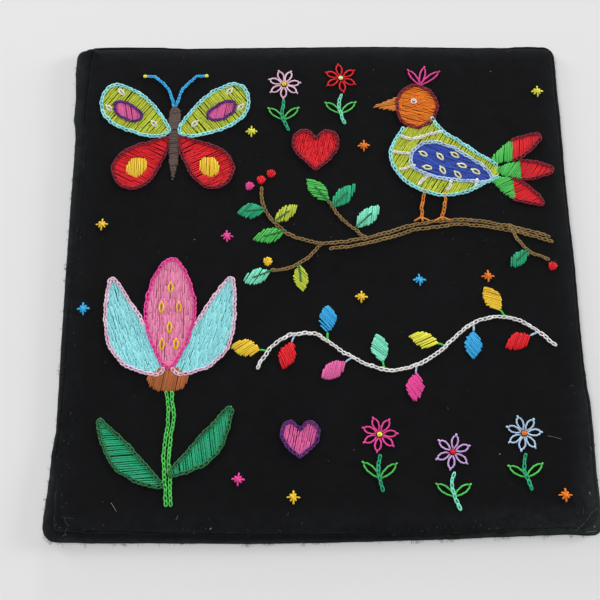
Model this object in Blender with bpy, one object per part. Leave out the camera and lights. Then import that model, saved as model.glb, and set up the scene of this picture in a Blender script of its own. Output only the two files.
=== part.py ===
"""A square of black cotton with an embroidered face, sewn as a turned cover and lying face up.

Two pieces of cloth are sewn together round their edges and turned. The backing lies flat on the surface.
It comes up round the rim and rolls over the front, far at the left edge, less at the bottom and hardly at
the right and the top. The front lies on it inside that roll, meets it in a sewn groove and rounds up over a
soft shoulder to a flat face. Sizes are in metres: +X to the right, +Y to the top edge, +Z up out of the face.
"""

import math
from collections import namedtuple

import bmesh
import bpy
from mathutils import Vector

# Thicknesses and heights through the cover
BACK_THICK = 0.0028
FRONT_THICK = 0.0030
PIECE_GAP = 0.0003
FRONT_UNDER = BACK_THICK + PIECE_GAP
FACE_HEIGHT = FRONT_UNDER + FRONT_THICK

# The rim: its crest is low where the roll is narrow and high where it is wide, and the groove lies lower
NARROW_ROLL = 0.0010
WIDE_ROLL = 0.0070
LOW_CREST = 0.0046
HIGH_CREST = 0.0068
GROOVE_DEPTH = 0.0005
GROOVE_PER_ROLL = 0.10

# The front's shoulder, which rises in these steps to the taut face
SHOULDER_RUN = 0.009
SHOULDER_POWER = 2.4
SHOULDER_STEPS = (0.05, 0.12, 0.24, 0.42, 0.68, 1.0)

# Steps round the square, and the angle past which an edge is drawn sharp
SIDE_STEPS = 30
CORNER_STEPS = 6
SMALLEST_RADIUS = 0.0010
SHARP_ANGLE = math.radians(50)

# The cloth's colour is a near black, a little cooler on the backing
FRONT_COLOUR = (0.0115, 0.0120, 0.0130, 1)
BACK_COLOUR = (0.0105, 0.0115, 0.0125, 1)
CLOTH_ROUGHNESS = 0.92

# One row for a place along an edge: how far out from the middle it lies there, and how wide the roll is
Place = namedtuple("Place", "along out roll")

RIGHT = (
    Place(-0.150, 0.15165, 0.0024),
    Place(-0.072, 0.15135, 0.0018),
    Place(-0.052, 0.14985, 0.0014),
    Place(0.052, 0.14915, 0.0014),
    Place(0.100, 0.14935, 0.0022),
    Place(0.150, 0.14895, 0.0016),
)
TOP = (
    Place(-0.150, 0.15080, 0.0024),
    Place(-0.117, 0.15230, 0.0020),
    Place(-0.070, 0.15140, 0.0012),
    Place(0.034, 0.15180, 0.0010),
    Place(0.110, 0.15040, 0.0012),
    Place(0.150, 0.15090, 0.0018),
)
LEFT = (
    Place(-0.150, 0.15165, 0.0073),
    Place(-0.117, 0.14995, 0.0048),
    Place(-0.097, 0.14815, 0.0026),
    Place(-0.037, 0.14805, 0.0038),
    Place(0.034, 0.14775, 0.0050),
    Place(0.088, 0.14755, 0.0071),
    Place(0.101, 0.14925, 0.0072),
    Place(0.114, 0.14895, 0.0074),
    Place(0.150, 0.14985, 0.0100),
)
BOTTOM = (
    Place(-0.150, 0.14990, 0.0066),
    Place(-0.093, 0.15130, 0.0050),
    Place(-0.012, 0.15230, 0.0041),
    Place(0.042, 0.15130, 0.0030),
    Place(0.098, 0.15020, 0.0036),
    Place(0.150, 0.14910, 0.0031),
)

# A corner's radius at the outline and in the groove, wide where the backing folds across the corner
Corner = namedtuple("Corner", "outline groove")

TOP_RIGHT = Corner(0.0085, 0.0060)
TOP_LEFT = Corner(0.0080, 0.0030)
BOTTOM_LEFT = Corner(0.0085, 0.0030)
BOTTOM_RIGHT = Corner(0.0075, 0.0130)

# The sides in anticlockwise order: the table, the quarter turn from the right side, and the corner at its end
Side = namedtuple("Side", "table quarter corner")

SIDES = (
    Side(RIGHT, 0, TOP_RIGHT),
    Side(TOP, 1, TOP_LEFT),
    Side(LEFT, 2, BOTTOM_LEFT),
    Side(BOTTOM, 3, BOTTOM_RIGHT),
)

# A ring of a piece's section: its place across the roll, from 0 at the outline to 1 in the groove, how far it
# lies inside that, and its height, to which a share of the crest's or of the groove's height is added
Ring = namedtuple("Ring", "across inset height crest groove")

BACK_SECTION = (
    Ring(0, 0.0030, 0, 0, 0),
    Ring(0, 0.0010, 0.0005, 0, 0),
    Ring(0, 0.0002, 0.0016, 0, 0),
    Ring(0, 0, 0, 0.60, 0),
    Ring(0.06, 0.0001, 0, 0.84, 0),
    Ring(0.24, 0.0001, 0, 0.96, 0),
    Ring(0.50, 0, 0, 1, 0),
    Ring(0.80, 0, 0, 0.98, 0),
    Ring(1, 0, 0, 0, 1),
    Ring(1, 0, FRONT_UNDER, 0, 0),
    Ring(1, 0.0010, BACK_THICK, 0, 0),
)
FRONT_EDGE_SECTION = (
    Ring(1, 0.0012, FRONT_UNDER, 0, 0),
    Ring(1, PIECE_GAP, FRONT_UNDER + PIECE_GAP, 0, 0),
    Ring(1, PIECE_GAP, 0, 0, 1),
)


def eased(t):
    """Goes from 0 to 1 with a soft start and end."""
    return (1 - math.cos(math.pi * min(1, max(0, t)))) / 2


def read_table(table, along, column):
    """The value of a column at a place along an edge, eased between the table's rows."""
    before = after = table[0]
    for after in table:
        if along <= after.along:
            break
        before = after
    span = after.along - before.along
    t = eased((along - before.along) / span) if span else 0
    return getattr(before, column) * (1 - t) + getattr(after, column) * t


def directions(side):
    """The way out of a side and the way along it, anticlockwise."""
    turn = side.quarter * math.pi / 2
    return Vector((math.cos(turn), math.sin(turn))), Vector((-math.sin(turn), math.cos(turn)))


def depth_at(side, step, across, inset):
    """How far out from the middle a ring lies at a step along a side."""
    _, forward = directions(side)
    along = step * (forward.x + forward.y)
    out = read_table(side.table, along, "out")
    return out - across * read_table(side.table, along, "roll") - inset


def roll_at(side, step):
    """How wide the roll is at a step along a side."""
    _, forward = directions(side)
    return read_table(side.table, step * (forward.x + forward.y), "roll")


def corner_radius(corner, across, inset):
    """A ring's radius at a corner, which gets smaller further in."""
    radius = corner.outline * (1 - across) + corner.groove * across - inset
    return max(radius, SMALLEST_RADIUS)


def side_stations(index, across, inset):
    """The stations along one side of a ring, each a point and the roll's width there."""
    side = SIDES[index]
    before, after = SIDES[index - 1], SIDES[(index + 1) % 4]
    half = read_table(side.table, 0, "out")
    start = -depth_at(before, half, across, inset) + corner_radius(before.corner, across, inset)
    end = depth_at(after, -half, across, inset) - corner_radius(side.corner, across, inset)
    outward, forward = directions(side)
    stations = []
    for i in range(SIDE_STEPS + 1):
        step = start + (end - start) * i / SIDE_STEPS
        point = outward * depth_at(side, step, across, inset) + forward * step
        stations.append((point, roll_at(side, step)))
    return stations


def corner_stations(index, first, last):
    """The stations of the round corner between a side's last one and the next side's first."""
    outward, _ = directions(SIDES[index])
    next_outward, _ = directions(SIDES[(index + 1) % 4])
    tip = outward * first[0].dot(outward) + next_outward * last[0].dot(next_outward)
    stations = []
    for i in range(1, CORNER_STEPS):
        angle = math.pi / 2 * i / CORNER_STEPS
        point = tip + (first[0] - tip) * (1 - math.sin(angle)) + (last[0] - tip) * (1 - math.cos(angle))
        share = i / CORNER_STEPS
        stations.append((point, first[1] * (1 - share) + last[1] * share))
    return stations


def walk(across, inset):
    """Every station round one ring."""
    sides = [side_stations(i, across, inset) for i in range(4)]
    stations = []
    for i, side in enumerate(sides):
        stations += side + corner_stations(i, side[-1], sides[(i + 1) % 4][0])
    return stations


def crest_height(roll):
    """The rim's height where the roll has this width."""
    return LOW_CREST + (HIGH_CREST - LOW_CREST) * eased((roll - NARROW_ROLL) / (WIDE_ROLL - NARROW_ROLL))


def groove_height(roll):
    """The height of the sewn groove where the roll has this width."""
    return crest_height(roll) - GROOVE_DEPTH - GROOVE_PER_ROLL * roll


def section_points(ring):
    """The points of one ring of a section."""
    return [
        (*point, ring.height + ring.crest * crest_height(roll) + ring.groove * groove_height(roll))
        for point, roll in walk(ring.across, ring.inset)
    ]


def shoulder_points(share):
    """The points of a ring on the front's shoulder, at a share of its run."""
    rise = 1 - (1 - share) ** SHOULDER_POWER
    points = []
    for point, roll in walk(1, PIECE_GAP + share * SHOULDER_RUN):
        low = groove_height(roll)
        points.append((*point, low + (FACE_HEIGHT - low) * rise))
    return points


def loft(name, rings, material):
    """A closed solid through rings of equal count, from its underside outwards and up, its ends flat fans."""
    bm = bmesh.new()
    loops = []
    for points in rings:
        verts = [bm.verts.new(p) for p in points]
        loops.append([bm.edges.new((verts[i - 1], verts[i])) for i in range(len(verts))])
    for lower, upper in zip(loops, loops[1:]):
        bmesh.ops.bridge_loops(bm, edges=lower + upper)
    for end in (loops[0], loops[-1]):
        made = bmesh.ops.contextual_create(bm, geom=end)
        bmesh.ops.poke(bm, faces=made["faces"])
    bmesh.ops.recalc_face_normals(bm, faces=bm.faces)
    mesh = bpy.data.meshes.new(name)
    bm.to_mesh(mesh)
    bm.free()
    mesh.shade_smooth()
    mesh.set_sharp_from_angle(angle=SHARP_ANGLE)
    mesh.materials.append(material)
    piece = bpy.data.objects.new(name, mesh)
    bpy.context.scene.collection.objects.link(piece)
    return piece


def cloth(name, colour):
    """Matte cotton of one colour."""
    material = bpy.data.materials.new(name)
    material.use_nodes = True
    shader = material.node_tree.nodes["Principled BSDF"]
    shader.inputs["Base Color"].default_value = colour
    shader.inputs["Roughness"].default_value = CLOTH_ROUGHNESS
    shader.inputs["Metallic"].default_value = 0
    return material


def backing():
    """The backing, with the rim that it rolls over the front."""
    rings = [section_points(ring) for ring in BACK_SECTION]
    return loft("back_cloth", rings, cloth("backing_cotton", BACK_COLOUR))


def front():
    """The front, whose turned-under edge gives it its thickness at the groove."""
    rings = [section_points(ring) for ring in FRONT_EDGE_SECTION]
    rings += [shoulder_points(share) for share in SHOULDER_STEPS]
    return loft("front_cloth", rings, cloth("front_cotton", FRONT_COLOUR))


for old in list(bpy.data.objects):
    bpy.data.objects.remove(old)
backing()
front()
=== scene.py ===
import math
import random

import bmesh
import bpy
import numpy as np
from mathutils import Matrix, Vector, noise


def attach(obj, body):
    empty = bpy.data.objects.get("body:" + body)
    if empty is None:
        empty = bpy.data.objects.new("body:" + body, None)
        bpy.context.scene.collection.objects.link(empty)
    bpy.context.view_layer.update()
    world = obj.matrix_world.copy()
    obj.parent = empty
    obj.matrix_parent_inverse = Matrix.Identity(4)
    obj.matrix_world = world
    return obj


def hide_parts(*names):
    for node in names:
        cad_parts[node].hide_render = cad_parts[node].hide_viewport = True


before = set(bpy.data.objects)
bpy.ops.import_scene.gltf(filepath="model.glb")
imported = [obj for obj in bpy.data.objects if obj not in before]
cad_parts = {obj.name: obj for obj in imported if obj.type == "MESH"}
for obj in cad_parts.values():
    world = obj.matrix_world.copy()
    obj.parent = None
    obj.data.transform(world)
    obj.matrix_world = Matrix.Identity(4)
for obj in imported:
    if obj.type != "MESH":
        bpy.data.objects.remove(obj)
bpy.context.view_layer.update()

# Tables and shapes below are in millimetres, and are made metres as they become meshes
mm = 0.001
chance = random.Random(11)


# A socket in shader maths: each sign adds one Math node
class Wire:
    def __init__(self, finish, socket):
        self.finish = finish
        self.socket = socket

    def maths(self, operation, first, second):
        return self.finish.add("ShaderNodeMath", {"operation": operation}, {0: first, 1: second})

    def __add__(self, other):
        return self.maths("ADD", self, other)

    def __mul__(self, other):
        return self.maths("MULTIPLY", self, other)

    def __sub__(self, other):
        return self.maths("SUBTRACT", self, other)

    def __rsub__(self, other):
        return self.maths("SUBTRACT", other, self)

    __radd__ = __add__
    __rmul__ = __mul__


# A material with a Principled shader, and one way to add any other node to it
class Finish:
    def __init__(self, name):
        self.material = bpy.data.materials.new(name)
        self.material.use_nodes = True
        self.tree = self.material.node_tree
        self.shader = self.tree.nodes["Principled BSDF"]

    def feed(self, socket, value):
        if isinstance(value, Wire):
            self.tree.links.new(value.socket, socket)
        else:
            socket.default_value = value

    def add(self, kind, settings=None, feeds=None, out=0):
        node = self.tree.nodes.new(kind)
        for key, value in (settings or {}).items():
            setattr(node, key, value)
        for key, value in (feeds or {}).items():
            self.feed(node.inputs[key], value)
        if isinstance(out, tuple):
            return [Wire(self, node.outputs[o]) for o in out]
        return Wire(self, node.outputs[out])

    def mix(self, factor, first, second):
        return self.add("ShaderNodeMix", {"data_type": "RGBA"}, {0: factor, 6: first, 7: second}, 2)

    def noise(self, where, scale, detail=2.0):
        return self.add("ShaderNodeTexNoise", None, {"Vector": where, "Scale": scale, "Detail": detail})

    def sine(self, angle):
        return self.add("ShaderNodeMath", {"operation": "SINE"}, {0: angle})

    def finish(self, **sockets):
        for key, value in sockets.items():
            self.feed(self.shader.inputs[key.replace("_", " ")], value)
        return self.material


def linear(colour):  # screen values from 0 to 255 as light, with alpha
    shares = [c / 255 for c in colour]
    return (*(s / 12.92 if s < 0.04045 else ((s + 0.055) / 1.055) ** 2.4 for s in shares), 1)


def scaled(colour, factor):
    return (*(min(1, c * factor) for c in colour[:3]), 1)


def newObject(name, data):
    made = bpy.data.objects.new(name, data)
    bpy.context.scene.collection.objects.link(made)
    return made


# Black cotton: a plain weave, a fuzzy nap and a little dust, and a paler colour for rubbed fuzz, painted
# sheen and painted light
cotton = {
    "threadPitch": 0.45,
    "dark": (0.0030, 0.0030, 0.0034, 1),
    "dusty": (0.0096, 0.0098, 0.0108, 1),
    # paler cloth, laid on as rubbed fuzz, as painted sheen on the rims and shoulders and as painted light in
    # the groove
    "rubbedAndLit": (0.0250, 0.0295, 0.0305, 1),
    # how fine each pattern is, from the fuzzy nap to wide clouds of dust
    "napScale": 1400,
    "fibreScale": 1100,
    "fuzzScale": 260,
    "mottleScale": 130,
    "cloudScale": 22,
    "roughness": 0.95,
    "sheen": 0.01,
    "specular": 0.05,
    "bump": 0.5,
    "bumpDepth": 0.15,
}


def cottonFinish(name):
    f = Finish(name)
    where = f.add("ShaderNodeTexCoord", out="Object")
    x, y, z = f.add("ShaderNodeSeparateXYZ", None, {0: where}, ("X", "Y", "Z"))
    turn = math.pi / (cotton["threadPitch"] * mm)
    weave = f.sine((x + z) * turn) * f.sine((y + z) * turn) * 0.5 + 0.5
    nap, mottle = f.noise(where, cotton["napScale"], 3), f.noise(where, cotton["mottleScale"], 2)
    cloud = f.noise(where, cotton["cloudScale"], 3)
    dust = nap * 0.5 + weave * 0.2 + cloud * 0.4 + mottle * 0.5 - 0.28
    # where the cloth turns paler: rubbed fuzz, painted sheen along the rims and shoulders, and painted light
    # in the groove's shade
    wearAndLightMask = f.add("ShaderNodeAttribute", {"attribute_name": "wearAndLightMask"}, out="Fac")
    tufts, fibres = f.noise(where, cotton["fuzzScale"], 3), f.noise(where, cotton["fibreScale"], 2)
    fuzzAndPaintedLight = wearAndLightMask * (tufts * 2.0 + fibres * 1.6 - 0.9)
    colour = f.mix(fuzzAndPaintedLight, f.mix(dust, cotton["dark"], cotton["dusty"]), cotton["rubbedAndLit"])
    height = weave * 0.5 + nap * 0.9 + mottle * 2.5
    bump = {"Strength": cotton["bump"], "Distance": cotton["bumpDepth"] * mm, "Height": height}
    normal = f.add("ShaderNodeBump", None, bump)
    return f.finish(
        Base_Color=colour, Roughness=cotton["roughness"], Normal=normal,
        Specular_IOR_Level=cotton["specular"], Sheen_Weight=cotton["sheen"], Sheen_Roughness=0.6,
    )


# Stranded cotton floss, one colour a skein, judged
floss = {
    "orange": (238, 116, 20),
    "ochre": (206, 122, 40),
    "gold": (250, 186, 44),
    "yellow": (232, 220, 66),
    "paleYellow": (238, 232, 160),
    "cream": (238, 224, 150),
    "white": (226, 219, 212),
    "lime": (180, 192, 54),
    "green": (72, 182, 78),
    "darkGreen": (38, 100, 58),
    "teal": (30, 156, 110),
    "mint": (116, 214, 180),
    "aqua": (140, 218, 230),
    "sky": (48, 160, 226),
    "paleBlue": (170, 194, 230),
    "royal": (50, 76, 170),
    "lilac": (192, 154, 208),
    "purple": (84, 34, 104),
    "magenta": (230, 62, 142),
    "hotPink": (216, 92, 152),
    "pink": (240, 128, 166),
    "palePink": (230, 180, 200),
    "red": (212, 14, 30),
    "darkRed": (116, 12, 34),
    "brown": (166, 94, 48),
    "olive": (126, 100, 58),
    "darkBrown": (84, 66, 60),
}

thread = {
    "width": 1.15,
    "widths": (0.80, 1.1),
    "height": 0.80,
    "sides": 6,
    "strands": 6,
    "strandTurns": 0.35,
    "shades": (0.84, 1.56),
    "roughness": 0.55,
    "sheen": 0.03,
    "specular": 0.25,
    "bump": 0.6,
    "bumpDepth": 0.12,
}


def flossFinish(name, screenColour):
    f = Finish("floss_" + name)
    colour = linear(screenColour)
    along, around, _ = f.add(
        "ShaderNodeSeparateXYZ", None, {0: f.add("ShaderNodeUVMap", {"uv_map": "strand"})}, ("X", "Y", "Z"))
    tone = f.add("ShaderNodeAttribute", {"attribute_name": "tone"}, out="Fac")
    twist = (along * thread["strandTurns"] + around) * (thread["strands"] * math.tau)
    strands = f.sine(twist) * 0.5 + 0.5
    patchy = f.noise(f.add("ShaderNodeTexCoord", out="Object"), 700, 2)
    # random tone by stitch and in patches, and painted shade darkening the grooves between strands
    depth = tone * 0.5 + strands * 0.3 + patchy * 0.4 - 0.1
    shade = f.mix(depth, *(scaled(colour, factor) for factor in thread["shades"]))
    bump = {"Strength": thread["bump"], "Distance": thread["bumpDepth"] * mm, "Height": strands}
    normal = f.add("ShaderNodeBump", None, bump)
    return f.finish(
        Base_Color=shade, Roughness=thread["roughness"], Normal=normal,
        Specular_IOR_Level=thread["specular"], Sheen_Weight=thread["sheen"], Sheen_Roughness=0.4,
    )


def lintFinish(name, low, high):
    f = Finish(name)
    patchy = f.noise(f.add("ShaderNodeTexCoord", out="Object"), 300, 1)
    return f.finish(Base_Color=f.mix(patchy, low, high), Roughness=0.9, Specular_IOR_Level=0.1)


# The cover: one row for a place along an edge, with how far out the edge lies there and how wide the roll is
cover = {
    "right": [(-150, 151.6, 2.4), (-130, 151.4, 2.3), (-114, 151.15, 2.2), (-88, 151.5, 2.0),
              (-76, 151.3, 1.9), (-66, 150.3, 1.7), (-52, 149.8, 1.4), (-34, 149.7, 1.4), (6, 149.95, 1.4),
              (38, 149.35, 1.4), (62, 149.15, 1.6), (84, 149.5, 2.0), (104, 149.6, 2.2), (118, 149.35, 2.0),
              (134, 149.5, 1.8), (150, 149.4, 1.6)],
    "top": [(-150, 149.7, 2.4), (-145, 150.3, 2.4), (-140.8, 150.0, 2.4), (-138.8, 152.15, 2.3),
            (-130, 152.5, 2.2), (-98, 152.35, 1.7), (-90, 151.6, 1.6), (-80, 151.3, 1.4),
            (-18, 151.55, 1.1), (34, 151.75, 1.0), (48, 151.6, 1.0), (62, 151.3, 1.1), (78, 150.95, 1.1),
            (102, 150.55, 1.2), (119, 150.35, 1.3), (127, 150.95, 1.4), (134, 151.1, 1.5),
            (142, 150.65, 1.7), (150, 150.45, 1.8)],
    "left": [(-150, 152.0, 7.3), (-138, 151.5, 6.8), (-130, 150.8, 6.0), (-122, 150.0, 5.1),
             (-114, 149.55, 4.3), (-104, 149.45, 3.2), (-97, 148.7, 2.7), (-90, 147.8, 2.7),
             (-34, 147.95, 3.9), (-2, 148.0, 4.4), (46, 147.7, 5.2), (70, 147.3, 6.3), (87, 147.35, 7.0),
             (94, 147.8, 7.1), (102, 149.0, 7.2), (114, 148.7, 7.4), (126, 149.2, 8.2), (134, 149.8, 9.0),
             (150, 149.5, 11.2)],
    "bottom": [(-150, 150.6, 6.6), (-138, 150.8, 6.3), (-122, 151.35, 5.9), (-98, 151.4, 5.2),
               (-74, 151.75, 4.8), (-38, 152.2, 4.4), (-2, 152.0, 4.0), (22, 151.6, 3.4), (46, 151.1, 3.0),
               (70, 150.7, 3.3), (78, 150.35, 3.4), (94, 149.8, 3.6), (110, 149.4, 3.5), (118, 149.05, 3.4),
               (134, 148.75, 3.2), (142, 149.3, 3.1), (150, 149.4, 3.1)],
    # a corner's radius at the outline and in the groove, after each side in turn
    "corners": [(7.6, 5.0), (6.8, 2.5), (8.5, 3.0), (6.0, 11.0)],
    "order": ["right", "top", "left", "bottom"],
    "cornerEase": 12.0,
    "sideSteps": 120,
    "cornerSteps": 10,
    "smallestRadius": 1.0,
    # how the backing lies, from 0 for a plump roll to 1 for a slope, and its rub: rubbed fuzz and painted
    # sheen
    "slack": {"right": 0.4, "top": 0.4, "left": 0.0, "bottom": 1.0},
    "rubAndLight": {"right": 1.1, "top": 0.6, "left": 0.9, "bottom": 1.25},
    "narrowRoll": 1.0,
    "wideRoll": 7.0,
    "lowCrest": 4.6,
    "highCrest": 6.8,
    "grooveDepth": 0.32,
    "groovePerRoll": 0.07,
    # painted light on each side, which lifts the shade in the groove between the two cloths
    "groovePaintedLight": {"right": 1.0, "top": 0.8, "left": 0.7, "bottom": 0.25},
    "palestCorner": (150, -150),
    "palestReach": 110.0,
    "faceHeight": 6.1,
    "shoulderRun": 9.0,
    "shoulderPower": 2.4,
    "clothThick": 0.55,
}

# Soft ridges and troughs pressed into the front: two ends, half-width and height
creases = [
    ((-139.5, 146), (-142.5, 96), 1.3, 0.35),
    ((-142.5, 96), (-143.2, 30), 1.2, 0.25),
    ((143, 121), (149, 108), 1.6, 0.30),
    ((141, 104), (148.5, 94), 1.8, -0.28),
    ((143, 99), (149, 88), 1.5, 0.25),
    ((136.6, -146.5), (147.9, -136), 0.9, 0.30),
    ((128, -147.5), (149.5, -126), 1.8, 0.20),
    ((122, -140), (146, -116), 4.0, -0.18),
    ((-136, -140), (-120, -147), 2.0, 0.25),
    ((-100, -146.5), (40, -148.5), 1.4, 0.20),
    ((-134, 60), (-130, -70), 7.0, 0.12),
    ((96, 148), (146, 147), 2.5, 0.20),
    ((-138, 147), (-92, 149), 1.8, 0.25),
]


def eased(t):
    return (1 - math.cos(math.pi * min(1, max(0, t)))) / 2


# Uneven hand sewing and the cloth's own ripples: size, height and seed of each
edgeWobble = [(7, 0.12, 0), (3, 0.14, 5)]
ripples = [(55, 0.30, 3), (14, 0.09, 7)]


def readEdge(name, along):  # how far out the edge lies, and the roll's width, with a hand-sewn wobble
    rows = cover[name]
    before = after = rows[0]
    for after in rows:
        if along <= after[0]:
            break
        before = after
    span = after[0] - before[0]
    t = eased((along - before[0]) / span) if span else 0
    out, roll = (before[i] * (1 - t) + after[i] * t for i in (1, 2))
    seed = cover["order"].index(name) * 31.7
    out += sum(noise.noise(Vector((along / size, seed, z))) * height for size, height, z in edgeWobble)
    roll += noise.noise(Vector((along / 11, seed, 9))) * 0.07 * roll
    return out, roll


def cornerRadius(index, across, inset):
    outline, groove = cover["corners"][index]
    smallest = cover["smallestRadius"] + 0.1 * min(inset, 20)
    return max(outline * (1 - across) + groove * across - inset, smallest)


# The stations round one ring, each a place in the plane and the roll's width there
def walkRound(across, inset):
    def depth(index, step):
        turn = index * math.pi / 2
        sign = round(math.cos(turn) - math.sin(turn))
        out, roll = readEdge(cover["order"][index], step * sign)
        return out - across * roll - inset, roll

    sides = []
    for index in range(4):
        before, after = (index - 1) % 4, (index + 1) % 4
        start = -depth(before, 150)[0] + cornerRadius(before, across, inset)
        end = depth(after, -150)[0] - cornerRadius(index, across, inset)
        turn = index * math.pi / 2
        outward = np.array([math.cos(turn), math.sin(turn)])
        forward = np.array([-math.sin(turn), math.cos(turn)])
        side = []
        for i in range(cover["sideSteps"] + 1):
            step = start + (end - start) * i / cover["sideSteps"]
            out, roll = depth(index, step)
            side.append((outward * out + forward * step, roll))
        sides.append(side)
    stations = []
    for index in range(4):
        (first, firstRoll), (last, lastRoll) = sides[index][-1], sides[(index + 1) % 4][0]
        tip = np.array([first[0], last[1]]) if index % 2 == 0 else np.array([last[0], first[1]])
        stations += sides[index]
        for i in range(1, cover["cornerSteps"]):
            share = i / cover["cornerSteps"]
            angle = math.pi / 2 * share
            point = tip + (first - tip) * (1 - math.sin(angle)) + (last - tip) * (1 - math.cos(angle))
            stations.append((point, firstRoll * (1 - share) + lastRoll * share))
    return stations


def bySide(values, x, y):  # the nearest side's value, eased from side to side over the corners
    reach = {"right": x, "top": y, "left": -x, "bottom": -y}
    furthest = max(reach.values())
    weights = {side: max(0, 1 - (furthest - out) / cover["cornerEase"]) for side, out in reach.items()}
    return sum(values[side] * w for side, w in weights.items()) / sum(weights.values())


def nearCorner(x, y):  # from 1 at the bottom right corner, palest as rubbed cloth and painted sheen, to 0
    return max(0, 1 - math.dist((x, y), cover["palestCorner"]) / cover["palestReach"])


# painted light that lifts the groove's shade, side by side and more towards the bottom right corner
def groovePaintedLight(x, y):
    return bySide(cover["groovePaintedLight"], x, y) + 0.8 * nearCorner(x, y)


def crestHeight(roll):
    share = eased((roll - cover["narrowRoll"]) / (cover["wideRoll"] - cover["narrowRoll"]))
    return cover["lowCrest"] + (cover["highCrest"] - cover["lowCrest"]) * share


def grooveHeight(roll):
    return crestHeight(roll) - cover["grooveDepth"] - cover["groovePerRoll"] * roll


def relief(x, y):  # how far the front's cloth rises or falls from flat
    rise = sum(noise.noise(Vector((x / size, y / size, z))) * height for size, height, z in ripples)
    for (ax, ay), (bx, by), half, height in creases:
        dx, dy = bx - ax, by - ay
        t = ((x - ax) * dx + (y - ay) * dy) / (dx * dx + dy * dy)
        t = min(1, max(0, t))
        away = math.hypot(x - ax - t * dx, y - ay - t * dy) / half
        if away < 3:
            rise += height * math.exp(-away * away)
    return rise


def faceHeight(x, y):
    return cover["faceHeight"] + relief(x, y)


# A grid laid round the cover: its columns are the stations and its rows the rings, given from one rim to
# the pole, where each place has a height and says how much paler the cloth is, as rubbed fuzz and painted
# light
def laidRound(name, rings, finish, outside):
    columns = len(rings[0])
    bm = bmesh.new()
    bmesh.ops.create_grid(bm, x_segments=columns, y_segments=len(rings) - 1, size=0.5)
    wearAndLightMask = bm.verts.layers.float.new("wearAndLightMask")
    for v in bm.verts:
        column, row = round((v.co.x + 0.5) * columns), round((v.co.y + 0.5) * (len(rings) - 1))
        *place, v[wearAndLightMask] = rings[row][column % columns]
        v.co = Vector(place) * mm
    bmesh.ops.remove_doubles(bm, verts=bm.verts, dist=1e-7)
    bmesh.ops.recalc_face_normals(bm, faces=bm.faces)
    bm.normal_update()
    pole = min(bm.faces, key=lambda face: face.calc_center_median().xy.length)
    if pole.normal.z * outside < 0:
        bmesh.ops.reverse_faces(bm, faces=bm.faces)
    mesh = bpy.data.meshes.new(name)
    bm.to_mesh(mesh)
    bm.free()
    mesh.shade_smooth()
    mesh.materials.append(finish)
    piece = newObject(name, mesh)
    cloth = piece.modifiers.new("cloth", "SOLIDIFY")
    cloth.thickness = cover["clothThick"] * mm
    cloth.offset = -1
    return piece


def lumps(x, y, size, height):
    return noise.noise(Vector((x / size, y / size, 21))) * height


# The backing's section from its hidden edge over the crest to the underside: place across the roll, inset,
# height above or below, and the shares of the crest's and the groove's heights
backSection = [
    (1.00, 0.50, -2.0, 0, 1), (1.00, 0.02, -0.9, 0, 1), (0.995, 0, -0.12, 0, 1), (0.90, 0, 0, 0.25, 0.75),
    (0.80, 0, 0, 0.58, 0.42), (0.66, 0, 0, 0.86, 0.14), (0.50, 0, 0, 0.98, 0.02), (0.34, 0, 0, 1, 0),
    (0.20, 0, 0, 0.945, 0), (0.10, 0.02, 0, 0.88, 0), (0.03, 0, 0, 0.76, 0), (0, 0, 0, 0.60, 0),
    (0, 0, 0, 0.42, 0), (0, 0.12, 0, 0.27, 0), (0, 0.45, 0, 0.13, 0), (0, 1.1, 0, 0.04, 0), (0, 2.2, 0, 0, 0),
    (0, 8, 0, 0, 0),
]
undersideShares = [0.8, 0.55, 0.3, 0.1]  # rings of the underside, as shares of the last one

# The front's section: its turned-under hem and the fold beside the groove, then insets over the shoulder
hemSection = [(9.0, -1.7), (4.0, -1.8), (1.2, -1.7), (0.35, -1.3), (0.15, -0.8), (0.08, -0.3), (0.14, -0.06)]
shoulderInsets = [0.40, 0.9, 1.3, 1.8, 2.4, 3.1, 4.0, 5.0, 6.2, 7.6, 9.3]
faceShares = [0.985, 0.965, 0.94, 0.915, 0.885, 0.855, 0.82, 0.785, 0.745, 0.7, 0.655, 0.605, 0.555, 0.5,
              0.445, 0.39, 0.33, 0.27, 0.21, 0.15, 0.10, 0.05]


def backCloth():
    rings = []
    for across, inset, height, crest, groove in backSection:
        ring = []
        for (x, y), roll in walkRound(across, inset):
            slack = bySide(cover["slack"], x, y)
            top, low = crestHeight(roll), grooveHeight(roll)
            high = height + crest * top + groove * low
            if 0 < across < 1:
                high += (low + 0.12 - (low - 0.6 * top) * (1 - across) ** 1.7 - high) * slack
            if crest > 0.3:
                high += (lumps(x, y, 11, 0.45) + lumps(x, y, 4, 0.18)) * min(1, roll / 5)
            # the rim is paler towards its outline, partly rubbed fuzz and partly painted sheen and bounced
            # light, and the groove takes painted light
            near = nearCorner(x, y)
            rimWearAndLight = (bySide(cover["rubAndLight"], x, y) + 0.6 * near) * (1 + lumps(x, y, 16, 0.5))
            rubAndLight = rimWearAndLight * (1 - across) ** ((1.1 + 1.5 * slack) * (1 - near))
            rubAndLight = max(rubAndLight, groovePaintedLight(x, y) if 0.95 < across and inset < 0.1 else 0)
            ring.append((x, y, high, rubAndLight if inset < 1 else 0))
        rings.append(ring)
    last = rings[-1]
    rings += [[(x * share, y * share, 0, 0) for x, y, _, _ in last] for share in undersideShares]
    rings.append([(0, 0, 0, 0)] * len(last))
    piece = laidRound("backing", rings, cottonFinish("backing_cotton"), -1)
    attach(piece, "root")
    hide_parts("back_cloth")
    return piece


# The front is paler along its shoulders, a little all round and most towards the bottom right corner,
# as rubbed cloth and painted sheen
shoulderWearAndLight = {
    "out": {"right": 149, "top": 148, "left": 146, "bottom": 146},
    "reach": 15.0,
    "around": 0.14,
    "corner": (140, -140),
    "cornerReach": 75.0,
    "atCorner": 0.55,
}


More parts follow.
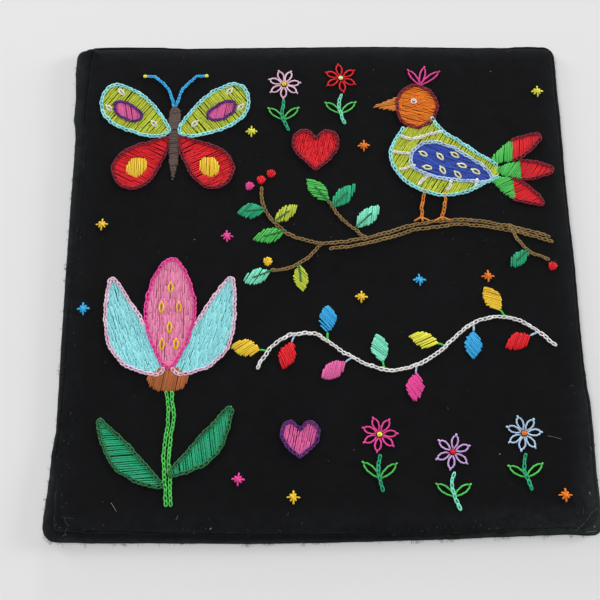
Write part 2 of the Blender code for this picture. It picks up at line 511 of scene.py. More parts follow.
def rubbedAndLit(x, y):
    out = shoulderWearAndLight["out"]
    edge = min(out["right"] - x, out["bottom"] + y, out["left"] + x, out["top"] - y)
    cornerX, cornerY = shoulderWearAndLight["corner"]
    away = math.hypot(max(0, cornerX - x), max(0, y - cornerY)) / shoulderWearAndLight["cornerReach"]
    strength = shoulderWearAndLight["around"] + shoulderWearAndLight["atCorner"] * max(0, 1 - away)
    return max(0, 1 - edge / shoulderWearAndLight["reach"]) * strength * (1 + lumps(x, y, 18, 0.6))


def frontCloth():
    rings = []
    for inset, height in hemSection:
        # the hem's rows that show in the groove take painted light against its shade
        seen = 1 if inset < 0.3 else 0
        ring = [(x, y, grooveHeight(roll) + height, seen * groovePaintedLight(x, y))
                for (x, y), roll in walkRound(1, inset)]
        rings.append(ring)
    for inset in shoulderInsets:
        rise = 1 - (1 - min(1, inset / cover["shoulderRun"])) ** cover["shoulderPower"]
        ring = []
        for (x, y), roll in walkRound(1, inset):
            low = grooveHeight(roll)
            # the shoulders paler as rubbed cloth and painted sheen, and the groove's edge with painted light
            rubAndLight = max(rubbedAndLit(x, y), groovePaintedLight(x, y) * 0.5 if inset < 0.5 else 0)
            ring.append((x, y, low + (cover["faceHeight"] - low) * rise + relief(x, y), rubAndLight))
        rings.append(ring)
    last = [(x, y) for x, y, _, _ in rings[-1]]
    for share in faceShares:
        rings.append([(x * share, y * share, faceHeight(x * share, y * share), rubbedAndLit(x * share, y * share))
                      for x, y in last])
    rings.append([(0, 0, faceHeight(0, 0), 0)] * len(last))
    piece = laidRound("front", rings, cottonFinish("front_cotton"), 1)
    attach(piece, "root")
    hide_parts("front_cloth")
    return piece


# Threads of one colour, gathered as tubes and made one mesh
class Skein:
    def __init__(self, name):
        self.name = name
        self.verts = []
        self.faces = []
        self.uvs = []
        self.tones = []

    # A tube along points, wider than high, whose two ends are closed
    def tube(self, points, width, height, sides):
        p = np.array(points, float)
        along = np.gradient(p, axis=0)
        along /= np.linalg.norm(along, axis=1)[:, None]
        side = np.cross(along, (0, 0, 1))
        side /= np.linalg.norm(side, axis=1)[:, None]
        up = np.cross(side, along)
        turn = np.arange(sides) / sides * math.tau
        across, rise = np.cos(turn)[None, :, None] * width / 2, np.sin(turn)[None, :, None] * height / 2
        ring = side[:, None] * across + up[:, None] * rise
        first = len(self.verts)
        self.verts += ((p[:, None] + ring).reshape(-1, 3) * mm).tolist()
        self.tones += [chance.random()] * (len(p) * sides)
        length = np.concatenate([[0], np.cumsum(np.linalg.norm(np.diff(p, axis=0), axis=1))])
        start = chance.random() * 3
        for i in range(len(p) - 1):
            for j in range(sides):
                k = (j + 1) % sides
                a, b = first + i * sides, first + (i + 1) * sides
                self.faces.append((a + j, b + j, b + k, a + k))
                near, far = start + length[i], start + length[i + 1]
                low, high = j / sides, (j + 1) / sides
                self.uvs += [near, low, far, low, far, high, near, high]
        last = first + (len(p) - 1) * sides
        self.faces.append(tuple(range(first, first + sides)))
        self.faces.append(tuple(range(last + sides - 1, last - 1, -1)))
        self.uvs += [start, 0.5] * (2 * sides)

    def piece(self, prefix, finish):
        mesh = bpy.data.meshes.new(prefix + self.name)
        mesh.from_pydata(self.verts, [], self.faces)
        mesh.uv_layers.new(name="strand").data.foreach_set("uv", self.uvs)
        mesh.attributes.new("tone", "FLOAT", "POINT").data.foreach_set("value", self.tones)
        mesh.shade_smooth()
        mesh.materials.append(finish)
        made = newObject(prefix + self.name, mesh)
        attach(made, "root")
        return made


skeins = {name: Skein(name) for name in floss}


def jitter(amount):
    return chance.uniform(-amount, amount)


def direction(degrees):
    turn = math.radians(degrees)
    return math.cos(turn), math.sin(turn)


def bearing(a, b):
    return math.degrees(math.atan2(b[1] - a[1], b[0] - a[0]))


def beside(a, b, share, across=0.0):  # a place at a share of the way from a to b, and so far to its left
    dx, dy = b[0] - a[0], b[1] - a[1]
    length = math.hypot(dx, dy)
    return a[0] + dx * share - dy / length * across, a[1] + dy * share + dx / length * across


# A straight stitch's middle line: how long an end dives into the cloth, how far it bows, and its heights
straightStitch = {"shortest": 0.8, "dip": 0.45, "dipShare": 0.22, "bow": 0.10,
                  "under": -0.5, "rising": 0.16, "shoulder": 0.36, "top": 0.42}


def stitchHeights(dip):
    rising = [(0, straightStitch["under"]), (dip, straightStitch["rising"]),
              (2.2 * dip, straightStitch["shoulder"])]
    return [*rising, (0.5, straightStitch["top"]), *((1 - t, high) for t, high in rising[::-1])]


# One straight stitch from hole to hole: it dives into the cloth at both ends
def straight(colour, a, b, lift=0.0, loose=0.14):
    a = a[0] + jitter(loose), a[1] + jitter(loose)
    b = b[0] + jitter(loose), b[1] + jitter(loose)
    length = math.dist(a, b)
    if length < straightStitch["shortest"]:
        return
    dip = min(straightStitch["dip"], length * straightStitch["dipShare"]) / length
    bow = jitter(straightStitch["bow"])
    points = []
    for t, high in stitchHeights(dip):
        x, y = beside(a, b, t, bow * math.sin(math.pi * t))
        points.append((x, y, faceHeight(x, y) + high + (lift if 0 < t < 1 else 0)))
    width = thread["width"] * chance.uniform(*thread["widths"])
    skeins[colour].tube(points, width, thread["height"], thread["sides"])


# Looped stitches: a row is a share of the stitch's length, half the loop's width there and its height. A link
# of chain stitch rises inside the link before it and is held down by the next. A petal is a detached chain
loopStitch = {
    "link": [(0.00, 0.10, -0.5), (0.03, 0.26, 0.42), (0.16, 0.46, 0.78), (0.42, 0.74, 0.55),
             (0.76, 0.74, 0.42), (1.02, 0.50, 0.38), (1.13, 0.0, 0.36)],
    "petal": [(0, 0.08, -0.5), (0.06, 0.25, 0.2), (0.3, 0.8, 0.42), (0.62, 1.0, 0.45), (0.86, 0.62, 0.42),
              (0.97, 0, 0.4)],
    "petalHalf": 1.25,
    "petalShare": 0.24,
    "pitch": 2.9,
    "wander": 0.32,
    "lean": 0.24,
    "wide": (0.76, 1.12),
    "width": 1.02,
    "widths": (0.84, 1.1),
    "height": 0.74,
    "sides": 5,
}


# Thread laid out along one side of a stitch and back along the other
def loop(colour, a, b, rows, wide, lean, lift, width):
    points = []
    for share, half, high in rows + [(s, -w, h) for s, w, h in rows[-2::-1]]:
        x, y = beside(a, b, share, half * wide + lean)
        points.append((x, y, faceHeight(x, y) + high + (lift if high > 0 else 0)))
    skeins[colour].tube(points, width, loopStitch["height"], loopStitch["sides"])


def chainLink(colour, a, b, lift=0.0, wide=1.0):
    lean, wide = jitter(loopStitch["lean"]), wide * chance.uniform(*loopStitch["wide"])
    width = loopStitch["width"] * chance.uniform(*loopStitch["widths"])
    loop(colour, a, b, loopStitch["link"], wide, lean, lift, width)


def measured(path):
    p = np.array(path, float)
    return p, np.concatenate([[0], np.cumsum(np.linalg.norm(np.diff(p, axis=0), axis=1))])


def spaced(path, count):  # that many equal steps along a path
    p, at = measured(path)
    want = np.linspace(0, at[-1], count + 1)
    return list(zip(np.interp(want, at, p[:, 0]), np.interp(want, at, p[:, 1])))


def smooth(points, closed=False, steps=8):  # a curve through the points
    p = [np.array(q, float) for q in points]
    n = len(p)
    path = []
    for i in range(n if closed else n - 1):
        if closed:
            a, b, c, d = p[i - 1], p[i], p[(i + 1) % n], p[(i + 2) % n]
        else:
            a, b, c, d = p[max(0, i - 1)], p[i], p[i + 1], p[min(n - 1, i + 2)]
        for k in range(steps):
            t = k / steps
            bent, twisted = 2 * a - 5 * b + 4 * c - d, 3 * b - a - 3 * c + d
            path.append(0.5 * (2 * b + (c - a) * t + bent * t * t + twisted * t ** 3))
    path.append(p[0] if closed else p[-1])
    return path


def chain(colour, path, pitch=loopStitch["pitch"], lift=0.0, wide=1.0):
    _, at = measured(path)
    count = max(1, round(at[-1] / pitch))
    wander = loopStitch["wander"]
    places = [(x + jitter(wander), y + jitter(wander)) for x, y in spaced(path, count)]
    for a, b in zip(places, places[1:]):
        chainLink(colour, a, b, lift, wide)


def running(colour, path, pitch=4.0, lift=0.0):  # stem stitch: straight stitches that overlap end to end
    _, at = measured(path)
    count = max(1, round(at[-1] / pitch))
    places = spaced(path, count)
    for a, b in zip(places, places[1:]):
        straight(colour, beside(a, b, -0.25), b, lift, 0.08)


# Chain stitch round a closed outline, but not where another one hides it
def edging(colour, outline, lift=0.25, hidden=None, pitch=loopStitch["pitch"], wide=1.0):
    path = outline + outline[:1]
    if hidden:
        start = next(i for i, q in enumerate(outline) if inside(hidden, q))
        path = [q for q in outline[start:] + outline[:start] if not inside(hidden, q)]
    chain(colour, path, pitch, lift, wide)


def rounded(points, steps=8):  # a closed curve through the points
    return [tuple(q) for q in smooth(points, True, steps)]


def aside(points, middle, sign=1):  # points given from a motif's middle line, on either side of it
    return [(middle + sign * x, y) for x, y in points]


def bothHalves(half, middle):  # a closed outline from one half, mirrored in the middle line
    return aside(half, middle) + aside(half[::-1], middle, -1)


def crossings(outline, level):
    found = []
    for (ax, ay), (bx, by) in zip(outline, outline[1:] + outline[:1]):
        if (ay <= level) != (by <= level):
            found.append(ax + (bx - ax) * (level - ay) / (by - ay))
    found.sort()
    return list(zip(found[::2], found[1::2]))


# Hand filling: how far apart its rows lie and how far they stray, as shares of the spacing, and how long
# stitches are split
filling = {"steps": (0.88, 0.93, 0.98, 1.02, 1.22), "stray": 0.12, "shortest": 0.8, "splitPast": 1.25,
           "firstSplit": 0.3, "stagger": 0.39, "splits": (0.85, 1.15), "lastSplit": 0.35, "overlap": 0.4}


# Parallel stitches that fill an outline, long ones split at staggered holes, and none inside its holes
def fill(colour, outline, angle, spacing=1.02, longest=7.5, lift=0.0, holes=(), ragged=0.4):
    c, s = direction(angle)

    def turned(path):
        return [(x * c + y * s, y * c - x * s) for x, y in path]

    def turnedBack(x, y):
        return x * c - y * s, x * s + y * c

    body, gaps = turned(outline), [turned(h) for h in holes]
    level = min(y for _, y in body) + spacing * 0.6
    top = max(y for _, y in body)
    row = 0
    while level < top:
        spans = crossings(body, level)
        for gap in gaps:
            for low, high in crossings(gap, level):
                parts = [part for a, b in spans for part in ((a, min(b, low)), (max(a, high), b))]
                spans = [part for part in parts if part[1] - part[0] > filling["shortest"]]
        for a, b in spans:
            a, b = a + jitter(ragged), b + jitter(ragged)
            cuts = [a]
            if b - a > longest * filling["splitPast"]:
                stagger = (row * filling["stagger"]) % 1 * 0.8
                cut = a + longest * (stagger + filling["firstSplit"]) + jitter(0.8)
                while cut < b - longest * filling["lastSplit"]:
                    cuts.append(cut)
                    cut += longest * chance.uniform(*filling["splits"])
            cuts.append(b)
            y = level + jitter(spacing * filling["stray"])
            for p, q in zip(cuts, cuts[1:]):
                q += filling["overlap"]  # each stitch comes down in the hole of the next, or a little past it
                straight(colour, turnedBack(p, y), turnedBack(q, y), lift, 0.24)
        level += spacing * chance.choice(filling["steps"])
        row += 1


def inside(outline, point):
    return any(a < point[0] < b for a, b in crossings(outline, point[1]))


def leafOutline(base, tip, width, bend=0.0):
    side = [(0.22, 0.34), (0.48, 0.5), (0.75, 0.36)]
    rows = [(0, 0), *side, (1, 0), *((t, -w) for t, w in side[::-1])]
    points = [beside(base, tip, t, w * width + bend * math.sin(math.pi * t)) for t, w in rows]
    return rounded(points, 4)


def leaf(colour, base, tip, width, slant=38):
    fill(colour, leafOutline(base, tip, width), bearing(base, tip) + slant, 0.95, 40, 0.05, ragged=0.45)


def petal(colour, base, tip, wide=1.0, lift=0.0):  # a detached chain, tied down at its tip
    length = math.dist(base, tip)
    half = min(loopStitch["petalHalf"], length * loopStitch["petalShare"]) * wide
    loop(colour, base, tip, loopStitch["petal"], half, 0, lift, loopStitch["width"])
    tie = beside(base, tip, 1 - 0.8 / length), beside(base, tip, 1 + 0.9 / length)
    straight(colour, *tie, lift + 0.3, 0.05)


# A knot: its turns, the steps in a turn, where it starts above the cloth and how far a turn climbs
woundKnot = {"turns": 2, "steps": 9, "low": 0.25, "pitch": 0.405, "width": 0.95, "height": 0.80, "sides": 5}


def knot(colour, at, radius=0.75):  # thread wound round the needle, and the stitch that ties it down
    points = []
    for i in range(woundKnot["turns"] * woundKnot["steps"] + 1):
        turn = i / woundKnot["steps"]
        x, y = at[0] + radius * math.cos(turn * math.tau), at[1] + radius * math.sin(turn * math.tau)
        points.append((x, y, faceHeight(x, y) + woundKnot["low"] + turn * woundKnot["pitch"]))
    skeins[colour].tube(points, woundKnot["width"], woundKnot["height"], woundKnot["sides"])
    straight(colour, (at[0] - radius * 0.6, at[1]), (at[0] + radius * 0.6, at[1]), 0.75, 0.05)


def bud(colour, at, angle, long, wide):  # a few straight stitches side by side
    c, s = direction(angle)
    count = max(3, round(wide / 0.85))
    for i in range(count):
        w = (i / (count - 1) - 0.5) * wide
        half = long / 2 * math.sqrt(max(0.15, 1 - (w / wide * 1.7) ** 2))
        ends = [(at[0] + p * c - q * s, at[1] + p * s + q * c) for p, q in ((-half, w * 0.7), (half, w))]
        straight(colour, *ends, 0.1)


# The bird, right of the middle, facing left
bird = {
    "back": [(70, 101), (76, 92), (86, 84), (97, 76), (108, 68)],
    "belly": [(53, 94), (44, 78), (50, 61), (68, 50), (88, 51), (108, 61)],
    "wing": [(67, 84), (57, 77), (58, 67), (72, 60), (90, 58), (104, 58), (100, 67), (91, 74), (80, 81)],
    "bands": [[(51, 88), (58, 86), (68, 89), (76, 91)], [(45, 77), (50, 77), (56, 76)],
              [(49, 66), (53, 67), (58, 69)], [(60, 56), (63, 59), (67, 62)], [(77, 52), (79, 55), (80, 59)],
              [(94, 54), (95, 56), (95, 59)]],
    "head": [(70, 99), (74, 109), (69, 119), (59, 122), (51, 116), (49, 106), (53, 97), (62, 94)],
    "beak": [(50, 115), (34, 108), (50, 105)],
    "eye": (59.5, 111.5),
    "tailRoots": [(104, 70), (106, 65), (103, 61)],
    "tailTips": [(136, 88), (142, 65), (134, 43)],
    "tailWidth": 12.0,
    "tailSplit": 0.42,
    "legs": [[(76, 50), (75, 42), (73, 35)], [(64, 52), (62, 43), (61, 35)]],
    "spots": [(64, 76, 150), (74, 74, 130), (66, 67, 170), (83, 75, 145), (75, 65, 120), (87, 68, 160),
              (84, 62, 130), (95, 64, 150)],
    "spotHalf": 2.6,
    "crown": (64, 123),
    "crest": [(76, 132), (67, 135), (57, 133)],
    "toes": (-4.5, 0.5, 5),
}


def stitchBird():
    wing, head = rounded(bird["wing"]), rounded(bird["head"])
    back, belly = smooth(bird["back"]), smooth(bird["belly"])
    for root, tip in zip(bird["tailRoots"], bird["tailTips"]):
        slant = bearing(root, tip) + 55
        split, _ = beside(root, tip, bird["tailSplit"])
        outline = leafOutline(root, tip, bird["tailWidth"])
        feather = spaced(outline + outline[:1], 90)
        end = [q for q in feather if q[0] > split]
        fill("green", [q for q in feather if q[0] < split + 1.4], slant, 1.05, 14)
        fill("red", end, slant, 1.05, 14, 0.12)
        chain("darkRed", end, lift=0.25)
    fill("lime", [tuple(q) for q in back + belly[::-1]], 58, 1.22, 8.5, holes=(wing, head), ragged=0.7)
    for band in bird["bands"]:
        chain("white", smooth(band), 2.7, 0.3, 0.75)
    fill("royal", wing, 158, 1.05, 7)
    for x, y, tilt in bird["spots"]:
        dx, dy = (bird["spotHalf"] * way for way in direction(tilt))
        petal("paleYellow", (x - dx, y - dy), (x + dx, y + dy), 1.0, 0.45)
    edging("paleBlue", wing, 0.3)
    fill("orange", head, 165, 1.02, 7)
    chain("aqua", back, lift=0.25)
    chain("aqua", belly, lift=0.25)
    edging("darkRed", head)
    fill("ochre", bird["beak"], 10, 0.95, 20)
    for tip in bird["crest"]:
        petal("magenta", bird["crown"], tip, 1.3)
    knot("white", bird["eye"], 1.5)
    knot("purple", bird["eye"], 0.6)
    for leg in bird["legs"]:
        chain("ochre", smooth(leg), 2.4, wide=0.85)
        foot = leg[-1]
        for toe in bird["toes"]:
            straight("ochre", foot, (foot[0] + toe, foot[1] - 2.5), 0.3)


# The branch under the bird, a long curve of chain stitch with leaves and berries
branch = {
    "line": [(136, 22), (112, 29), (84, 33), (56, 30), (28, 22), (2, 19), (-18, 25), (-31, 39), (-34, 55)],
    "twigs": [[(28, 22), (14, 34), (6, 46)], [(2, 19), (-12, 6), (-28, 2)], [(112, 29), (122, 14), (134, 8)]],
    "leaves": [("mint", (22, 29), (36, 42), 9), ("teal", (8, 42), (22, 56), 9),
               ("green", (6, 46), (-6, 60), 9), ("lime", (-12, 6), (-10, -10), 8),
               ("mint", (-28, 2), (-44, -4), 9), ("green", (-20, 27), (-38, 22), 9),
               ("teal", (-32, 41), (-48, 39), 9), ("lime", (-26, 33), (-13, 43), 8),
               ("teal", (122, 14), (112, 4), 8)],
    "berries": [("red", (-34, 60)), ("magenta", (-41, 56)), ("red", (-28, 64)), ("red", (136, 4)),
                ("gold", (-30, 8))],
}


def stitchBranch():
    line = smooth(branch["line"])
    chain("olive", line)
    chain("olive", [(x + 1.2, y - 3.1) for x, y in line[:40]])
    for twig in branch["twigs"]:
        chain("olive", smooth(twig), 2.7, wide=0.85)
    for colour, base, tip, width in branch["leaves"]:
        leaf(colour, base, tip, width)
        running("darkGreen", [base, beside(base, tip, 0.7)], 4, 0.45)
    for colour, at in branch["berries"]:
        bud(colour, at, 70, 5.5, 4.6)


# The butterfly, top left: one half, mirrored about its body
butterfly = {
    "middle": -87.0,
    "upper": [(3, 92), (9, 104), (22, 118), (38, 124), (45, 115), (42, 102), (28, 93), (12, 89)],
    "lower": [(3, 87), (14, 85), (28, 80), (36, 69), (31, 57), (19, 56), (9, 68)],
    "upperSpot": [(20, 104), (30, 112), (37, 111), (34, 103), (24, 99)],
    "lowerSpot": [(17, 74), (25, 74), (28, 66), (22, 62), (16, 67)],
    "body": [(0, 111), (3.2, 104), (3.4, 90), (2.4, 72), (0, 60)],
    "feeler": [(0.5, 109), (4, 120), (12, 129), (19, 130)],
    "flecks": [(12, 97), (33, 119), (40, 108)],
}


def stitchButterfly():
    middle = butterfly["middle"]
    for sign in (-1, 1):
        wings = [rounded(aside(butterfly[part], middle, sign))
                 for part in ("upper", "lower", "upperSpot", "lowerSpot")]
        upper, lower, upperSpot, lowerSpot = wings
        fill("lime", upper, 90 + sign * 38, 1.3, 9, holes=(upperSpot,))
        fill("hotPink", upperSpot, 90 - sign * 10, 1.0, 12)
        fill("red", lower, 90 - sign * 62, 1.15, 9, holes=(lowerSpot,))
        fill("gold", lowerSpot, 90, 1.0, 12)
        edging("aqua", upper)
        edging("darkRed", lower)
        edging("purple", upperSpot, 0.3, None, 2.5, 0.85)
        for x, y in butterfly["flecks"]:
            low, high = aside([(x - 1.5, y - 1.6), (x + 1.8, y + 1.8)], middle, sign)
            petal("white", low, high, 1.0, 0.3)
        feeler = aside(butterfly["feeler"], middle, sign)
        chain("sky", smooth(feeler), 2.4, 0.0, 0.7)
        knot("yellow", feeler[-1])
    fill("darkBrown", bothHalves(smooth(butterfly["body"]), middle), 8, 0.9, 12, 0.25)


# The tall flower, bottom left
tulip = {
    "middle": -86.0,
    "outer": [(3, -58), (20, -56), (33, -44), (37, -24), (35, -2), (26, -12), (17, -26), (8, -40)],
    "inner": [(0, -56), (10, -40), (14, -22), (10, -2), (0, 10), (-10, -2), (-14, -22), (-10, -40)],
    "cup": [(-11, -60), (0, -54), (11, -60), (7, -68), (-7, -68)],
    "stem": [(-1, -69), (1, -84), (-1, -104), (1, -132)],
    "leaves": [((-1, -122), (-38, -84), 13, 5), ((2, -116), (36, -78), 13, -5)],
    "spots": [(0, -8), (-5, -20), (5, -20), (0, -32), (-4, -42), (4, -42)],
}


def stitchTulip():
    middle = tulip["middle"]
    inner = rounded(aside(tulip["inner"], middle))
    for sign in (-1, 1):
        outer = rounded(aside(tulip["outer"], middle, sign))
        fill("aqua", outer, 90 - sign * 18, 0.88, 8.0, holes=(inner,))
        edging("palePink", outer, hidden=inner)
    fill("pink", inner, 90, 0.88, 8.5)
    edging("magenta", inner, 0.3)
    for x, y in aside(tulip["spots"], middle):
        petal("gold", (x, y - 3), (x, y + 3), 1.0, 0.55)
    fill("brown", rounded(aside(tulip["cup"], middle)), 80, 1.0, 14, 0.2)
    stem = smooth(aside(tulip["stem"], middle))
    chain("green", stem)
    chain("green", [(x + 2.9, y) for x, y in stem])
    for base, tip, width, bend in tulip["leaves"]:
        base, tip = aside([base, tip], middle)
        outline = leafOutline(base, tip, width, bend)
        fill("teal", outline, bearing(base, tip) + 50, 1.15, 16)
        edging("darkGreen", outline)


# The trailing vine, lower right: leaf colour, place along the line, and side of it
vine = {
    "line": [(134, -44), (112, -28), (88, -30), (66, -48), (42, -58), (18, -50), (-4, -36), (-24, -40),
             (-36, -56)],
    "leaves": [("red", 0.06, 1), ("gold", 0.16, -1), ("sky", 0.26, 1), ("yellow", 0.36, -1),
               ("magenta", 0.46, 1), ("mint", 0.55, -1), ("hotPink", 0.65, 1), ("sky", 0.74, -1),
               ("red", 0.84, 1), ("gold", 0.93, -1)],
    "turn": 62,
    "sway": 8,
    "stalk": 5.0,
    "long": 16.0,
    "wide": 9.5,
}


def stitchVine():
    line = smooth(vine["line"])
    chain("white", line)
    p, at = measured(line)
    for colour, share, sign in vine["leaves"]:
        i = min(len(p) - 2, int(np.searchsorted(at, share * at[-1])))
        aim = bearing(p[i], p[i + 1]) + sign * (vine["turn"] + jitter(vine["sway"]))
        way = np.array(direction(aim))
        base = p[i] + way * vine["stalk"]
        running("paleBlue" if sign > 0 else "green", [tuple(p[i]), tuple(base)], 3.0)
        leaf(colour, tuple(base), tuple(base + way * vine["long"]), vine["wide"], 42)


# Small daisies, two at the top and three at the bottom right: place, petal colour, middle, petals, turn
daisies = [((-20, 124), "palePink", "gold", 7, 10), ((15, 128), "red", "cream", 6, 35),
           ((112, -94), "paleBlue", "orange", 7, 0), ((72, -104), "lilac", "red", 6, 20),
           ((32, -94), "magenta", "yellow", 7, 5)]
daisy = {
    "petal": (1.8, 9.5),
    "petalWide": 1.45,
    "stem": [(0, -11), (-1.5, -20), (2, -31)],
    "leafRoot": (-0.5, -24),
    "leafReach": (9, 7),
    "leafWide": 1.5,
}


def stitchDaisies():
    for (x, y), colour, middle, count, start in daisies:
        for n in range(count):
            c, s = direction(start + n * 360 / count + jitter(5))
            base, tip = ((x + reach * c, y + reach * s) for reach in daisy["petal"])
            petal(colour, base, tip, daisy["petalWide"])
        knot(middle, (x, y), 1.0)
        *stem, (footX, footY) = [(x + dx, y + dy) for dx, dy in daisy["stem"]]
        stem.append((footX + jitter(2), footY))
        chain("teal" if count == 7 else "mint", smooth(stem), 2.8, wide=0.9)
        rootX, rootY = x + daisy["leafRoot"][0], y + daisy["leafRoot"][1]
        acrossX, upY = daisy["leafReach"]
        for side in (-1, 1):
            tip = rootX + side * acrossX, rootY + upY + jitter(2)
            petal("green", (rootX, rootY), tip, daisy["leafWide"])


# Hearts and small stars between the larger motifs: place, half-width, filling and edge, or place and colour
heartHalf = [(0, -1.05), (0.75, -0.35), (1.05, 0.3), (0.85, 0.8), (0.4, 0.92), (0.05, 0.5), (0, 0.45)]
hearts = [((-1, 80), 13.0, "red", "darkRed"), ((-12, -96), 10.0, "hotPink", "purple")]
starArms = {0: 3.6, 45: 2.5, 90: 3.6, 135: 2.5}  # each arm's turn in degrees and its reach
stars = [((-40, 92), "yellow"), ((28, 82), "orange"), ((-128, 32), "gold"), ((-54, 24), "magenta"),
         ((58, -4), "sky"), ((98, -2), "orange"), ((24, -14), "gold"), ((136, 118), "yellow"),
         ((-16, -128), "gold"), ((-136, -20), "sky"), ((132, -128), "orange"), ((-46, -118), "magenta")]


def stitchHearts():
    for (x, y), size, colour, edge in hearts:
        outline = bothHalves([(size * a, y + size * b) for a, b in smooth(heartHalf)], x)
        fill(colour, outline, 78, 1.05, 9)
        edging(edge, outline)


def stitchStars():
    for (x, y), colour in stars:
        for n, (turn, reach) in enumerate(starArms.items()):
            dx, dy = (reach * way for way in direction(turn + jitter(6)))
            straight(colour, (x - dx, y - dy), (x + dx, y + dy), 0.12 * n)


# Pale hairs and specks caught on the cloth: start, heading in degrees, length, curl and thickness
hairs = [((-114.8, -130.1), -50, 6.1, -12, 0.22), ((-79.3, -139.5), 55, 2.3, 20, 0.16),
         ((125.2, -95.6), -6, 7.6, -14, 0.16), ((-140.3, -137.9), 4, 6.0, -12, 0.06),
         ((-139.6, -138.0), -84, 5.2, 50, 0.06), ((-137.5, -143.0), -80, 3.6, -110, 0.07),
         ((-140.3, -147.4), 0, 3.4, 90, 0.13), ((-145.3, -124.0), -92, 5.5, 4, 0.05),
         ((-145.4, -131.0), -88, 4.0, -6, 0.05), ((-145.2, -136.5), -92, 3.0, 10, 0.06),
         ((-145.6, -142.0), -40, 2.6, 120, 0.09), ((147.9, -101.3), -68, 2.4, 10, 0.15),
         ((145.9, -145.0), 30, 0.7, 0, 0.45), ((144.9, -126.9), 20, 0.9, 0, 0.32),
         ((107.9, 131.9), 30, 0.7, 0, 0.40), ((-73.4, 21.8), 20, 0.7, 0, 0.40),
         ((-145.3, 119.2), 60, 2.5, 60, 0.18), ((-144.4, 124.7), -40, 2.0, 90, 0.16),
         ((97.4, -105.6), 30, 0.9, 0, 0.34), ((-61.0, -144.6), 40, 1.2, 0, 0.45),
         # along the fold at the bottom right corner
         ((136.1, -147.0), 39, 7.0, 7, 0.045), ((141.9, -141.8), 52, 4.4, 0, 0.055),
         ((145.0, -137.8), 43, 5.3, -8, 0.045), ((141.2, -147.7), 1, 6.1, 10, 0.11),
         ((144.8, -126.3), -68, 2.3, 10, 0.10), ((141.1, -134.3), -99, 4.0, 6, 0.04)]

# Fine dust: some all over, and more in bands along the left, right and bottom edges
dust = {
    "count": 110,
    "edgeCount": 150,
    "x": (-143, 145),
    "y": (-145, 146),
    "sideShare": 0.6,
    "sideBand": (138, 148),
    "bottomBand": (142.5, 148.8),
    "lengths": (0.4, 1.6),
    "curl": 120,
    "thick": 0.048,
}
fibreSteps = 6


def surfaceHeight(x, y):  # the front's height, which falls towards the rim
    edge = min(151 - abs(x), 151.5 - abs(y))
    return faceHeight(x, y) - max(0, 8 - edge) * 0.12


def fibre(skein, x, y, turn, length, curl, thick):
    points = []
    for i in range(fibreSteps + 1):
        points.append((x, y, surfaceHeight(x, y) + 0.12 + 0.15 * math.sin(math.pi * i / fibreSteps)))
        turn += curl / fibreSteps
        c, s = direction(turn)
        x, y = x + c * length / fibreSteps, y + s * length / fibreSteps
    skein.tube(points, thick, thick, 4)


def lint():
    pale = Skein("lint")
    for (x, y), turn, length, curl, thick in hairs:
        fibre(pale, x, y, turn, length, curl, thick)
    for n in range(dust["count"] + dust["edgeCount"]):
        x, y = chance.uniform(*dust["x"]), chance.uniform(*dust["y"])
        if n >= dust["count"]:
            if chance.random() < dust["sideShare"]:
                x = chance.choice((-1, -1, -1, 1)) * chance.uniform(*dust["sideBand"])
            else:
                y = -chance.uniform(*dust["bottomBand"])
        turn, length = chance.uniform(0, 360), chance.uniform(*dust["lengths"])
        fibre(pale, x, y, turn, length, jitter(dust["curl"]), dust["thick"])
    pale.piece("", lintFinish("lint_pale", (0.05, 0.05, 0.05, 1), (0.42, 0.41, 0.40, 1)))


# Short black fibres that stand out in tufts all round the rim, a share of them long
rimTufts = {
    "tufts": 1300,
    "longShare": 0.12,
    "longCount": (3, 9),
    "shortCount": (1, 2),
    "reach": 2.4,
    "sides": {"right": 0.4, "top": 0.3, "left": 0.9, "bottom": 1.0},
    "spread": 1.1,
    "thick": 0.08,
}


def rimNap():
    black = Skein("rim_nap")
    stations = walkRound(0, 0.15)
    for _ in range(rimTufts["tufts"]):
        (cx, cy), roll = chance.choice(stations)
        far = chance.random() < rimTufts["longShare"]
        longest = rimTufts["reach"] * bySide(rimTufts["sides"], cx, cy)
        reach = longest * chance.uniform(0.5, 1) * (1 if far else 0.3)
        out = Vector((round(cx / 150), round(cy / 150))).normalized()
        high = crestHeight(roll) * chance.uniform(0.15, 0.6)
        for _ in range(chance.randint(*rimTufts["longCount" if far else "shortCount"])):
            shift, way = jitter(rimTufts["spread"]), out.to_3d().normalized()
            way.rotate(Matrix.Rotation(jitter(1.0), 3, "Z"))
            x, y, z = cx - out.y * shift, cy + out.x * shift, high * chance.uniform(0.6, 1.4)
            points = []
            for i in range(4):
                points.append((x, y, z))
                way.rotate(Matrix.Rotation(jitter(0.7), 3, "Z"))
                x, y, z = x + way.x * reach / 3, y + way.y * reach / 3, max(0.1, z + jitter(0.25))
            black.tube(points, rimTufts["thick"], rimTufts["thick"], 4)
    black.piece("", lintFinish("nap_black", (0.006, 0.0065, 0.007, 1), (0.03, 0.031, 0.033, 1)))


# The camera of the photograph: just in front of the bottom edge, looking down
camera = {
    "place": (-13.9, -188.1, 556.35),
    "target": (-11.4, -15.65, 6.1),
    "roll": -0.5,
    "lens": 60.0,
    "sensor": 36.0,
}

stage = {
    "floorSize": 6.0,
    "floorColour": (0.55, 0.547, 0.544, 1),
    # the floor glows a little: painted light that lifts the shadows round the cloth
    "floorGlow": (0.25, 0.25, 0.25, 1),
    "worldColour": (0.96, 0.98, 1.0, 1),
    "worldStrength": 0.225,
    # each lamp's place, width and power: a high one on the left, and low ones on the right, behind to the
    # left and straight behind
    "lamps": [((-1.5, -0.2, 2.6), 1.5, 38.0), ((3.0, 0.8, 0.75), 1.2, 89.0), ((-2.6, 1.8, 0.84), 1.2, 51.0),
              ((0.0, 2.8, 0.35), 0.6, 48.0)],
}


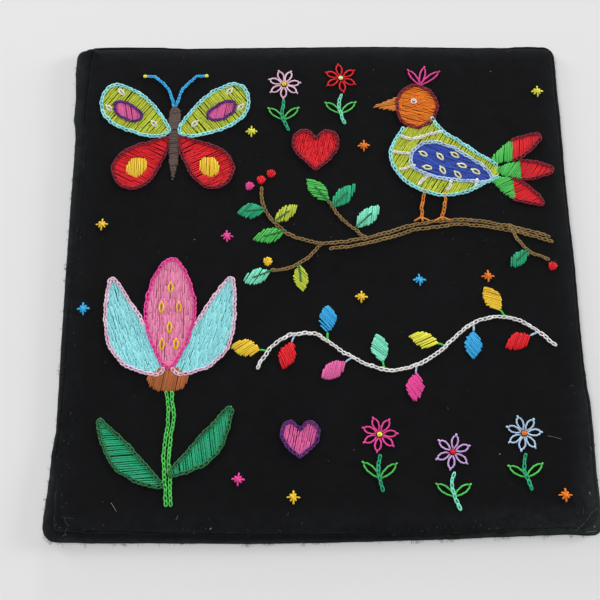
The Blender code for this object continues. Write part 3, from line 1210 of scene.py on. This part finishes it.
def layFloor():
    bm = bmesh.new()
    bmesh.ops.create_grid(bm, x_segments=1, y_segments=1, size=stage["floorSize"] / 2)
    bmesh.ops.translate(bm, verts=bm.verts, vec=(0, 0, -0.00005))
    mesh = bpy.data.meshes.new("floor")
    bm.to_mesh(mesh)
    bm.free()
    f = Finish("floor_pale")
    # a pale floor that also glows, painted light that lifts the shadows round the cloth
    mesh.materials.append(f.finish(
        Base_Color=stage["floorColour"], Roughness=0.7, Specular_IOR_Level=0.2,
        Emission_Color=stage["floorGlow"], Emission_Strength=1.0,
    ))
    newObject("floor", mesh)


def lightStage():
    world = bpy.data.worlds.new("studio")
    world.use_nodes = True
    sky = world.node_tree.nodes["Background"]
    sky.inputs["Color"].default_value = stage["worldColour"]
    sky.inputs["Strength"].default_value = stage["worldStrength"]
    bpy.context.scene.world = world
    for place, size, power in stage["lamps"]:
        lamp = bpy.data.lights.new("softbox", "AREA")
        lamp.size = size
        lamp.energy = power
        softbox = newObject("softbox", lamp)
        softbox.location = place
        softbox.rotation_euler = (-Vector(place)).to_track_quat("-Z", "Y").to_euler()


def placeCamera():
    lens = bpy.data.cameras.new("camera")
    lens.lens, lens.sensor_width = camera["lens"], camera["sensor"]
    lens.clip_start, lens.clip_end = 0.01, 20
    view = newObject("camera", lens)
    place, target = Vector(camera["place"]) * mm, Vector(camera["target"]) * mm
    ahead = (target - place).normalized()
    right = ahead.cross(Vector((0, 1, 0))).normalized()
    aim = Matrix((right, right.cross(ahead), -ahead)).transposed()
    aim = aim @ Matrix.Rotation(math.radians(camera["roll"]), 3, "Z")
    view.matrix_world = Matrix.Translation(place) @ aim.to_4x4()
    bpy.context.scene.camera = view
    bpy.context.scene.view_settings.view_transform = "Standard"


print("stage, lights and camera")
layFloor()
lightStage()
placeCamera()
print("the two cloths")
back = backCloth()
front = frontCloth()
print("embroidery")
motifs = [stitchBranch, stitchBird, stitchButterfly, stitchTulip, stitchVine, stitchDaisies, stitchHearts,
          stitchStars]
for stitch in motifs:
    stitch()
    print("  ", stitch.__name__)
embroidery = [skeins[name].piece("floss_", flossFinish(name, colour)) for name, colour in floss.items()]
print("lint and nap")
lint()
rimNap()

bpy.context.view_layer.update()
triangles = sum(len(p.vertices) - 2 for s in embroidery for p in s.data.polygons)
print("embroidery triangles", triangles)
